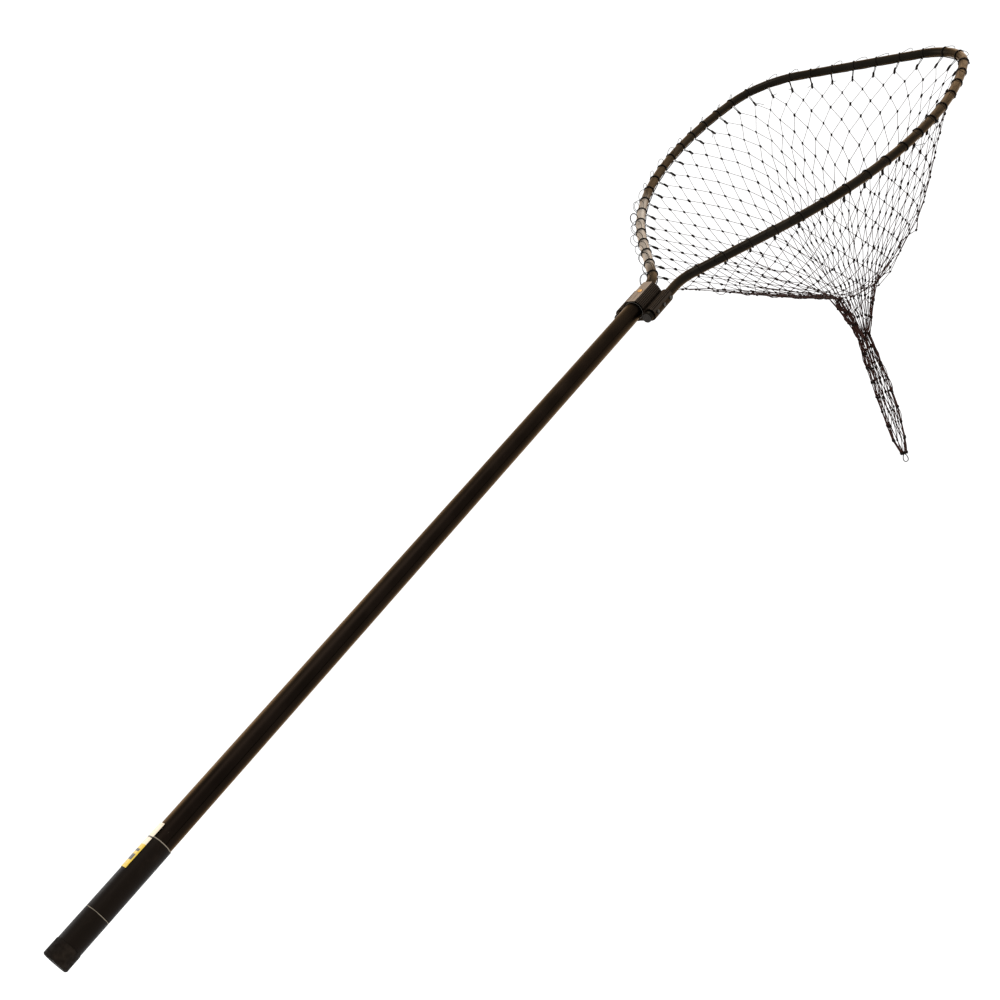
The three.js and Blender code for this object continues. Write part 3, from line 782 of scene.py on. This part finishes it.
def lashing(dice):
    """One cord laid along the hoop's lower inner side, with a turn round the hoop at each mesh."""
    reach = HOOP_RADIUS + CORD_RADIUS + CORD_GAP
    path = []
    ties = tie_places()
    for index, tie in enumerate(ties):
        lean = dice.uniform(-WRAP_LEAN, WRAP_LEAN)
        for turn in np.linspace(0, 1, WRAP_STEPS + 1):
            angle = TIE_ANGLE - 2 * math.pi * turn
            path.append(round_hoop(tie + WRAP_LENGTH * (turn - 0.5) * (1 + lean), angle, reach))
        if index + 1 < len(ties):
            gap = ties[index + 1] - tie - WRAP_LENGTH
            for step in range(1, RUN_STEPS):
                sag = CORD_SAG * math.sin(math.pi * step / RUN_STEPS)
                place = tie + WRAP_LENGTH / 2 + gap * step / RUN_STEPS
                wander = dice.uniform(-CORD_WANDER, CORD_WANDER)
                path.append(round_hoop(place, TIE_ANGLE + wander, reach + sag))
    shape = Shape()
    shape.tube(path, CORD_RADIUS, CORD_SIDES)
    shape.build("hoop_lashing", LASHING_LOOK, "head", "lashing_cord", ["lashing_cord"])


def tie_loops(dice):
    """Thin spare loops of tying twine that stand off the hoop beside each turn of the lashing."""
    shape = Shape()
    for index, tie in enumerate(tie_places()):
        near_yoke = index >= KNOTS_ROUND_HOOP - TIES_NEAR_YOKE
        for _ in range(2 if near_yoke else 1):
            stand = dice.uniform(*(TIE_STAND_NEAR_YOKE if near_yoke else TIE_STAND))
            length = dice.uniform(*TIE_LENGTH)
            middle = math.radians(dice.uniform(*TIE_MIDDLE_DEGREES))
            spread = math.radians(dice.uniform(*TIE_SPREAD_DEGREES))
            path = []
            for step in range(TIE_STEPS + 1):
                turn = math.pi * step / TIE_STEPS
                out = HOOP_RADIUS + TIE_RADIUS + stand * math.sin(turn) ** 0.8
                back = TIE_SETBACK + 0.9 * length * math.sin(turn)
                path.append(round_hoop(tie - back, middle + spread * math.cos(turn), out))
            shape.tube(path, TIE_RADIUS, STRAND_SIDES)
    shape.build("tie_loops", LASHING_LOOK, "head", "lashing_cord")


# ---- Netting ----

def plan_net():
    """The rows of knots, the bars that join them, and how far round the hoop each knot belongs."""
    turns = [(index + 0.5) / KNOTS_ROUND_HOOP for index in range(KNOTS_ROUND_HOOP)] * 2
    rows = [list(range(KNOTS_ROUND_HOOP)), list(range(KNOTS_ROUND_HOOP, 2 * KNOTS_ROUND_HOOP))]
    bars = list(zip(rows[0], rows[1]))
    for number, wanted in enumerate(KNOTS_ROUND):
        above = rows[-1]
        spare = len(above) - wanted
        offset = number * ROW_SHIFT % 1
        joined = {int((index + offset) * len(above) / spare) for index in range(spare)}
        row = []
        place = 0
        while place < len(above):
            wide = place in joined and place + 1 < len(above)
            parents = [above[(place + step) % len(above)] for step in range(3 if wide else 2)]
            middle = [turns[parent] for parent in parents]
            middle = [turn + 1 if turn < middle[0] - 0.5 else turn for turn in middle]
            knot = len(turns)
            turns.append(sum(middle) / len(middle) % 1)
            bars.extend((parent, knot) for parent in parents)
            row.append(knot)
            place += 2 if wide else 1
        rows.append(row)
    return [np.array(row) for row in rows], np.array(bars), np.array(turns)


def first_places(rows, turns, gather, tail_end):
    """A smooth funnel from the hoop to the gather, and the tail below it, for the netting to start from."""
    ties = tie_places()
    reach = HOOP_RADIUS + LEAD_DROP
    rim = np.array([round_hoop(tie, TIE_ANGLE, reach) for tie in ties])
    places = np.zeros((len(turns), 3))
    bag_rows = len(rows) - 1 - TAIL_ROWS
    for number, row in enumerate(rows):
        share = turns[row] * KNOTS_ROUND_HOOP - 0.5
        low = np.floor(share).astype(int)
        weight = (share - low)[:, None]
        base = rim[low % KNOTS_ROUND_HOOP] * (1 - weight) + rim[(low + 1) % KNOTS_ROUND_HOOP] * weight
        part = min(1.0, number / bag_rows)
        close_in = 1 - (1 - part) ** CLOSING_CURVE
        fall = part ** FALLING_CURVE
        places[row, :2] = base[:, :2] * (1 - close_in) + gather[:2] * close_in
        places[row, 2] = base[:, 2] * (1 - fall) + gather[2] * fall
        if number > bag_rows:
            centre = gather + (tail_end - gather) * (number - bag_rows) / TAIL_ROWS
            facing = unit(np.column_stack([(base - gather)[:, :2], np.zeros(len(row))]))
            places[row] = centre + TAIL_START_RADIUS * facing
    places[rows[0]] = rim
    return places


def separate_bars(bars, count):
    """Groups of bars that share no knot, so that a whole group can be moved at once."""
    used = [set() for _ in range(count)]
    group_of = np.zeros(len(bars), int)
    for index, (first, second) in enumerate(bars):
        group = 0
        while group in used[first] or group in used[second]:
            group += 1
        group_of[index] = group
        used[first].add(group)
        used[second].add(group)
    return [np.where(group_of == group)[0] for group in range(group_of.max() + 1)]


def tighten(places, bars, groups, lengths, loose, slack_stiffness):
    """Pulls each stretched bar back to its length, and pushes a slack one apart only a little."""
    for group in groups:
        first, second = bars[group, 0], bars[group, 1]
        reach = places[second] - places[first]
        size = np.linalg.norm(reach, axis=1) + 1e-12
        extra = size - lengths[group]
        stiffness = np.where(extra > 0, 1.0, slack_stiffness)
        share = stiffness * extra / size / (loose[first] + loose[second] + 1e-9)
        move = share[:, None] * reach
        places[first] += loose[first][:, None] * move
        places[second] -= loose[second][:, None] * move


def part_knots(places, loose):
    """Moves knots that lie in each other apart."""
    gaps = places[:, None] - places[None]
    far = (gaps ** 2).sum(-1)
    np.fill_diagonal(far, 1)
    first, second = np.where(np.triu(far < KNOT_GAP ** 2))
    size = np.sqrt(far[first, second]) + 1e-9
    move = gaps[first, second] / size[:, None] * ((KNOT_GAP - size) * PARTING_SHARE)[:, None]
    np.add.at(places, first, move * loose[first][:, None])
    np.add.at(places, second, -move * loose[second][:, None])


def clear_handle(places, loose):
    """Keeps the netting below the path of the handle, which passes over it when the hoop slides back."""
    near = (np.abs(places @ HANDLE_AXES[1]) < HANDLE_CLEAR_HALF_WIDTH) & (loose > 0)
    over = np.maximum(places @ HANDLE_AXES[2] + HANDLE_CLEAR_DEPTH, 0) * near
    places -= over[:, None] * HANDLE_AXES[2]


def draw_in(places, rows, gather):
    """Holds the last rows of the bag within a short funnel that ends at the throat."""
    for number in range(FUNNEL_ROWS):
        row = rows[-1 - TAIL_ROWS - number]
        centre = gather + np.array([0, 0, number * FUNNEL_ROW_HEIGHT])
        away = places[row] - centre
        size = np.linalg.norm(away, axis=1, keepdims=True) + 1e-9
        places[row] = centre + away * np.minimum(1, (THROAT_MOST + FUNNEL_ROW_SPREAD * number) / size)


def open_tail(places, rows):
    """Holds the stiff twine open: a little at the throat, and in a long belly down the tail."""
    for number, row in enumerate(rows[-1 - TAIL_ROWS:-1]):
        centre = places[row].mean(0)
        out = (places[row] - centre) * (1, 1, 0)
        size = np.linalg.norm(out, axis=1, keepdims=True) + 1e-9
        swell = math.sin(math.pi * number / TAIL_ROWS) ** BELLY_CURVE
        belly = THROAT_LEAST + (TAIL_BELLY - THROAT_LEAST) * swell
        places[row] += out / size * np.maximum(belly - size, 0) * OPENING_SHARE


def tail_places():
    """The middle of the throat, where the tail begins, and the middle of the tail's lower end."""
    tail_low, tail_high = corners_of("net_tail")
    loop_low, loop_high = corners_of("tail_loop")
    gather = np.array([tail_low[0] + TAIL_FROM_CORNER, tail_low[1] + TAIL_FROM_CORNER, tail_high[2]])
    return gather, np.array([*(loop_low + loop_high)[:2] / 2, tail_low[2] + TAIL_END_LIFT])


def bar_lengths(rows, bars, turns):
    """Each bar's length: leads, then bars that are eased in and out round the bag, then the tail's."""
    ease = 1 + BAR_EASE * np.cos(2 * math.pi * turns[bars[:, 1]])
    lengths = np.where(bars[:, 0] < KNOTS_ROUND_HOOP, LEAD_LENGTH, BAR_LENGTH * ease)
    lengths[bars[:, 0] >= rows[-1 - TAIL_ROWS][0]] = TAIL_BAR_LENGTH
    return lengths


def hang_net():
    """Lets the netting hang from the hoop and from its gathered tail until its knots come to rest."""
    rows, bars, turns = plan_net()
    gather, tail_end = tail_places()
    places = first_places(rows, turns, gather, tail_end)
    loose = np.ones(len(turns))
    loose[rows[0]] = 0
    loose[rows[-1]] = 0
    facing = unit((places[rows[-1]] - tail_end) * (1, 1, 0))
    places[rows[-1]] = tail_end + TAIL_END_RADIUS * facing
    lengths = bar_lengths(rows, bars, turns)
    groups = separate_bars(bars, len(turns))
    dice = np.random.default_rng(3)
    places[loose > 0] += dice.normal(0, FIRST_SHAKE, places[loose > 0].shape)
    speed = np.zeros_like(places)
    for step in range(NET_STEPS):
        speed[:, 2] -= NET_PULL * NET_TICK
        speed *= SPEED_KEPT * loose[:, None]
        ahead = places + speed * NET_TICK
        for _ in range(NET_PASSES):
            tighten(ahead, bars, groups, lengths, loose, SLACK_STIFFNESS)
        if step % 2 == 0:
            part_knots(ahead, loose)
            open_tail(ahead, rows)
        draw_in(ahead, rows, gather)
        clear_handle(ahead, loose)
        speed = (ahead - places) / NET_TICK
        fastest = np.linalg.norm(speed, axis=1, keepdims=True) + 1e-9
        speed *= np.minimum(1, FASTEST_KNOT / fastest)
        places = ahead
    for _ in range(TIGHTENING_PASSES):
        tighten(places, bars, groups, lengths, loose, 0.0)
        draw_in(places, rows, gather)
        open_tail(places, rows)
        clear_handle(places, loose)
    return rows, bars, lengths, places


def bar_path(start, end, length, dice):
    """A strand between two knots: straight when it is pulled tight, and a soft curve when it is slack."""
    reach = end - start
    gap = np.linalg.norm(reach)
    sideways = np.array([dice.gauss(0, 1), dice.gauss(0, 1), dice.gauss(0, 1) - STRAND_SAG])
    sideways = unit(sideways - reach * sideways.dot(reach) / max(gap, 1e-6) ** 2)
    rise_of_arc = math.sqrt(max(3 / 8 * gap * (length - gap), 0))
    bulge = min(rise_of_arc, MOST_BULGE * length) + LEAST_BULGE
    shares = np.linspace(0, 1, STRAND_POINTS)
    return start + shares[:, None] * reach + (bulge * 4 * shares * (1 - shares))[:, None] * sideways


def knot_pattern():
    """A small lobed lump, as a sheet-bend knot looks, one unit across."""
    ball = bmesh.new()
    bmesh.ops.create_icosphere(ball, subdivisions=2, radius=1)
    points = np.array([vertex.co for vertex in ball.verts])
    faces = [[vertex.index for vertex in face.verts] for face in ball.faces]
    ball.free()
    round_it = np.arctan2(points[:, 1], points[:, 2])
    lobes = 1 + LOBE_DEPTH * np.cos(LOBES * round_it + LOBE_TWIST * points[:, 0])
    waist = 1 - WAIST_DEPTH * np.exp(-(points[:, 0] / WAIST_WIDTH) ** 2)
    points[:, 1:] *= (lobes * waist)[:, None]
    return points, faces


KNOT_POINTS, KNOT_FACES = knot_pattern()


def add_knot(shape, place, along, size, long, dice):
    """One knot, as long along its bars as the stretch given, and spun about them at random."""
    along = unit(along)
    across = any_across(along)
    axes = np.array([along, across, np.cross(along, across)])
    spin = dice.uniform(0, 2 * math.pi)
    turn = np.array([[1, 0, 0], [0, math.cos(spin), math.sin(spin)], [0, -math.sin(spin), math.cos(spin)]])
    stretch = size * np.array([long * dice.uniform(*KNOT_VARIES), 1, dice.uniform(*KNOT_THICKNESS)])
    shape.solid(place + (KNOT_POINTS * stretch) @ turn @ axes, KNOT_FACES)


def netting(dice):
    """The bag and the tail, each as strands and knots, and the doubled leads that tie them to the hoop."""
    rows, bars, lengths, places = hang_net()
    first_tail_knot = rows[-1 - TAIL_ROWS][0]
    strands = {"bag": Shape(), "tail": Shape()}
    knots = {"bag": Shape(), "tail": Shape()}
    leads = Shape()
    hang = np.zeros_like(places)
    for (start, end), length in zip(bars, lengths):
        reach = places[end] - places[start]
        hang[start] += reach
        hang[end] += reach
        if start < KNOTS_ROUND_HOOP:
            add_lead(leads, places[start], places[end])
        else:
            part = "tail" if start >= first_tail_knot else "bag"
            radius = TWINE_RADIUS * (1 + (LOWER_TWINE - 1) * min(1, start / first_tail_knot))
            strands[part].tube(bar_path(places[start], places[end], length, dice), radius, STRAND_SIDES)
    for knot in range(KNOTS_ROUND_HOOP, len(places)):
        along = hang[knot] + (0, 0, -1e-4)
        if knot < 2 * KNOTS_ROUND_HOOP:
            add_knot(leads, places[knot], along, LEAD_KNOT_RADIUS, LEAD_KNOT_STRETCH, dice)
            if dice.random() < LOOSE_END_SHARE:
                add_loose_end(leads, places[knot], dice)
        else:
            part = "tail" if knot >= first_tail_knot else "bag"
            size = KNOT_RADIUS * dice.uniform(*KNOT_VARIES)
            add_knot(knots[part], places[knot], along, size, KNOT_STRETCH, dice)
    for part in ("bag", "tail"):
        strands[part].build(f"net_{part}_strands", TWINE_LOOK, "head", "net_twine", [f"net_{part}"])
        knots[part].build(f"net_{part}_knots", KNOT_LOOK, "head", "net_twine")
    leads.build("net_leads", LASHING_LOOK, "head", "lashing_cord")
    return places[rows[-1]].mean(0)


def add_loose_end(shape, place, dice):
    """The short stiff end of a lead's knot, bent as it was cut."""
    away = unit([dice.gauss(0, 1), dice.gauss(0, 1), dice.gauss(0, 1) - 0.3])
    bend = unit([dice.gauss(0, 1), dice.gauss(0, 1), dice.gauss(0, 1) - 0.6])
    length = dice.uniform(*LOOSE_END_LENGTH)
    path = [place + length * (share * away + 0.6 * share ** 2 * bend) for share in np.linspace(0, 1, 6)]
    shape.tube(path, TIE_RADIUS, THIN_CORD_SIDES)


def add_lead(shape, start, end):
    """The doubled cord from the lashing down to the first knot of a mesh."""
    along = unit(end - start)
    across = any_across(along)
    shares = np.linspace(0, 1, STRAND_POINTS)
    for side in (-1, 1):
        bow = (LEAD_SPREAD * (1 - shares ** 2) + LEAD_CLOSEST) * side
        path = start + shares[:, None] * (end - start) + bow[:, None] * across
        shape.tube(path, LEAD_RADIUS, THIN_CORD_SIDES)


def tail_ring(tail_end):
    """The cord that closes the tail: a whipping round the last meshes, and a ring hanging from it."""
    low, high = corners_of("tail_loop")
    centre = (low + high) / 2
    radius = (high[2] - low[2]) / 2 - TWINE_RADIUS
    shape = Shape()
    turns = np.linspace(0, 2 * math.pi, RING_POINTS, endpoint=False)
    ring = radius * np.column_stack([np.cos(turns), RING_TWIST * np.sin(2 * turns), np.sin(turns)])
    shape.tube(centre + ring, RING_CORD, CORD_SIDES, closed=True)
    winding = np.linspace(0, 2 * math.pi * WHIPPING_TURNS, WHIPPING_POINTS)
    fall = WHIPPING_TOP - WHIPPING_LENGTH * winding / winding[-1]
    whip = np.column_stack([TAIL_END_RADIUS * np.cos(winding), TAIL_END_RADIUS * np.sin(winding), fall])
    shape.tube(tail_end + whip, WHIPPING_CORD, THIN_CORD_SIDES)
    for side in (-1, 1):
        foot = centre + np.array([side * RING_FOOT, 0, radius])
        top = tail_end + np.array([side * TAIL_END_RADIUS, 0, 0])
        middle = (top + foot) / 2 + np.array([side * RING_FOOT / 2, 0, 0])
        shape.tube([top, middle, foot], WHIPPING_CORD, THIN_CORD_SIDES)
    shape.build("tail_ring", LASHING_LOOK, "head", "lashing_cord", ["tail_loop"])


# ---- Studio ----

def studio():
    """Pale floor, white surroundings and soft lights."""
    low, high = CAD_BOUNDS
    middle = (low + high) / 2
    corners = [(x * FLOOR_REACH, y * FLOOR_REACH, 0) for x, y in ((-1, -1), (1, -1), (1, 1), (-1, 1))]
    floor_shape = bpy.data.meshes.new("floor")
    floor_shape.from_pydata(corners, [], [(0, 1, 2, 3)])
    floor = bpy.data.objects.new("floor", floor_shape)
    floor.location = (middle.x, middle.y, low.z - FLOOR_DROP)
    bpy.context.scene.collection.objects.link(floor)
    floor_look = Finish("floor_pale", (0.95, 0.95, 0.95), 0.9)
    floor_look.give("Specular IOR Level", 0.0)
    floor.data.materials.append(floor_look.material)
    world = bpy.data.worlds.new("studio")
    world.use_nodes = True
    surroundings = world.node_tree.nodes["Background"].inputs
    surroundings["Color"].default_value = (1, 1, 1, 1)
    surroundings["Strength"].default_value = STUDIO_STRENGTH
    bpy.context.scene.world = world
    bpy.context.scene.view_settings.view_transform = "Standard"
    for name, (offset, size, watts) in LIGHTS.items():
        add_light(name, middle + Vector(offset), middle, size, watts)


def add_light(name, place, target, size, watts):
    """A square soft light that faces its target."""
    lamp = bpy.data.lights.new(name, "AREA")
    lamp.size = size
    lamp.energy = watts
    light = bpy.data.objects.new(name, lamp)
    light.location = place
    light.rotation_euler = (target - place).to_track_quat("-Z", "Y").to_euler()
    bpy.context.scene.collection.objects.link(light)


def camera():
    """The scene's camera, from its place, heading, pitch and roll."""
    level = Vector((math.cos(CAMERA_HEADING), math.sin(CAMERA_HEADING), 0))
    ahead = level * math.cos(CAMERA_PITCH) + Vector((0, 0, math.sin(CAMERA_PITCH)))
    level_right = Vector((math.sin(CAMERA_HEADING), -math.cos(CAMERA_HEADING), 0))
    level_up = level_right.cross(ahead)
    right = level_right * math.cos(CAMERA_ROLL) - level_up * math.sin(CAMERA_ROLL)
    up = right.cross(ahead)
    lens = bpy.data.cameras.new("camera")
    lens.lens = CAMERA_LENS
    lens.sensor_width = CAMERA_SENSOR
    lens.clip_end = CAMERA_REACH
    viewer = bpy.data.objects.new("camera", lens)
    viewer.matrix_world = Matrix((right, up, -ahead)).transposed().to_4x4()
    viewer.location = CAMERA_PLACE
    bpy.context.scene.collection.objects.link(viewer)
    bpy.context.scene.camera = viewer


camera()
for cad_node in frame["nodes"].values():
    finish_node(cad_node)
hoop_tube()
lashing(random.Random(11))
tie_loops(random.Random(12))
tail_ring(netting(random.Random(13)))
studio()
